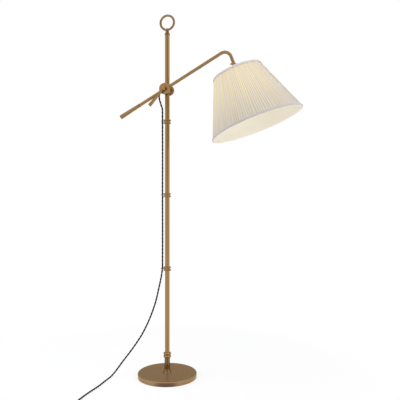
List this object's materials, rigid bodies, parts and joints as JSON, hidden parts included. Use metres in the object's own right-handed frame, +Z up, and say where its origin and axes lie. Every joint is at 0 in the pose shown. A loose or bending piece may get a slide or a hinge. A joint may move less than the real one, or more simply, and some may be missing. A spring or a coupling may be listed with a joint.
{
  "type": "floor lamp",
  "caption": "Bridge floor lamp: round weighted base, slim collared pole with a ring on top, tilting and sliding arm with tail handle, clamp lever, cord, pleated shade.",
  "frame": {"origin": "centre of the felt's underside on the floor, on the pole's axis", "axes": "+Z up along the pole, +X towards the shade, -Y towards the front disc and the clamp lever"},
  "size_m": [0.8224, 0.7017, 1.5641],
  "materials": {
    "antique_brass": "brushed, aged",
    "dark_brass": "brushed, dark",
    "cast_iron": "rough",
    "felt": "felt",
    "steel": "plated",
    "black_plastic": "moulded",
    "cream_cloth": "pleated cloth",
    "lining": "smooth cloth on stiff backing",
    "ribbon": "woven ribbon",
    "bulb_glass": "frosted",
    "cord": "cloth-covered twisted pair"
  },
  "bodies": {
    "stand": {"felt_pad": "felt", "base_weight": "cast_iron", "base_cover": "antique_brass", "base_washer": "steel", "base_nut": "steel", "lamp_pipe": "steel", "base_stem": "antique_brass", "stem_collar": "antique_brass", "pole_plug": "steel", "lower_tube": "antique_brass", "second_tube": "antique_brass", "third_tube": "antique_brass", "top_tube": "antique_brass", "tube_couplers": "steel", "lower_collar": "antique_brass", "middle_collar": "antique_brass", "upper_collar": "antique_brass", "lower_cord_eye": "dark_brass", "middle_cord_eye": "dark_brass", "upper_cord_eye": "dark_brass", "finial_neck": "antique_brass", "finial_ring": "antique_brass", "cord_top": "cord", "cord_drop": "cord", "cord_coil": "cord", "coil_tie": "black_plastic", "plug_body": "black_plastic", "plug_blades": "steel"},
    "bush": {"slide_bush": "black_plastic"},
    "clamp": {"pole_clamp": "antique_brass", "rear_disc": "antique_brass", "rear_screw": "dark_brass", "pivot_bolt": "steel", "friction_washer": "black_plastic"},
    "arm": {"arm_hub": "antique_brass", "front_disc": "antique_brass", "arm_tube": "antique_brass", "tail_tube": "antique_brass", "tail_ferrule": "antique_brass", "tail_handle": "antique_brass", "cord_bushing": "black_plastic", "inner_lead": "cord", "tube_nipple": "steel", "socket_cap": "antique_brass", "socket_shell": "antique_brass", "socket_core": "black_plastic", "ring_nut": "black_plastic", "shade_fitter": "antique_brass", "shade_bottom_wire": "antique_brass", "shade_lining": "lining", "pleated_cover": "cream_cloth", "top_trim": "ribbon", "bottom_trim": "ribbon", "bulb_base": "steel", "bulb_glass": "bulb_glass"},
    "lever": {"lever_nut": "antique_brass", "lever_handle": "antique_brass"},
    "key": {"switch_key": "antique_brass"}
  },
  "joints": [
    {"name": "height_slide", "type": "slide", "parent": "stand", "child": "bush", "axis": [0, 0, 1], "range_m": [-0.04, 0.2], "deforming": ["cord_top"]},
    {"name": "arm_swivel", "type": "hinge", "parent": "bush", "child": "clamp", "pos_m": [0, 0, 1.2388], "axis": [0, 0, 1], "range_deg": [-90, 90], "deforming": ["cord_top"]},
    {"name": "arm_tilt", "type": "hinge", "parent": "clamp", "child": "arm", "pos_m": [0, -0.0233, 1.2388], "axis": [0, -1, 0], "range_deg": [-30, 30], "deforming": ["cord_top"]},
    {"name": "lever_turn", "type": "hinge", "parent": "clamp", "child": "lever", "pos_m": [0, -0.0365, 1.2388], "axis": [0, -1, 0], "range_deg": [0, 75]},
    {"name": "switch_turn", "type": "hinge", "parent": "arm", "child": "key", "pos_m": [0.30017, -0.0233, 1.33062], "axis": [-0.9317, 0, -0.3633], "range_deg": [0, 90]}
  ]
}
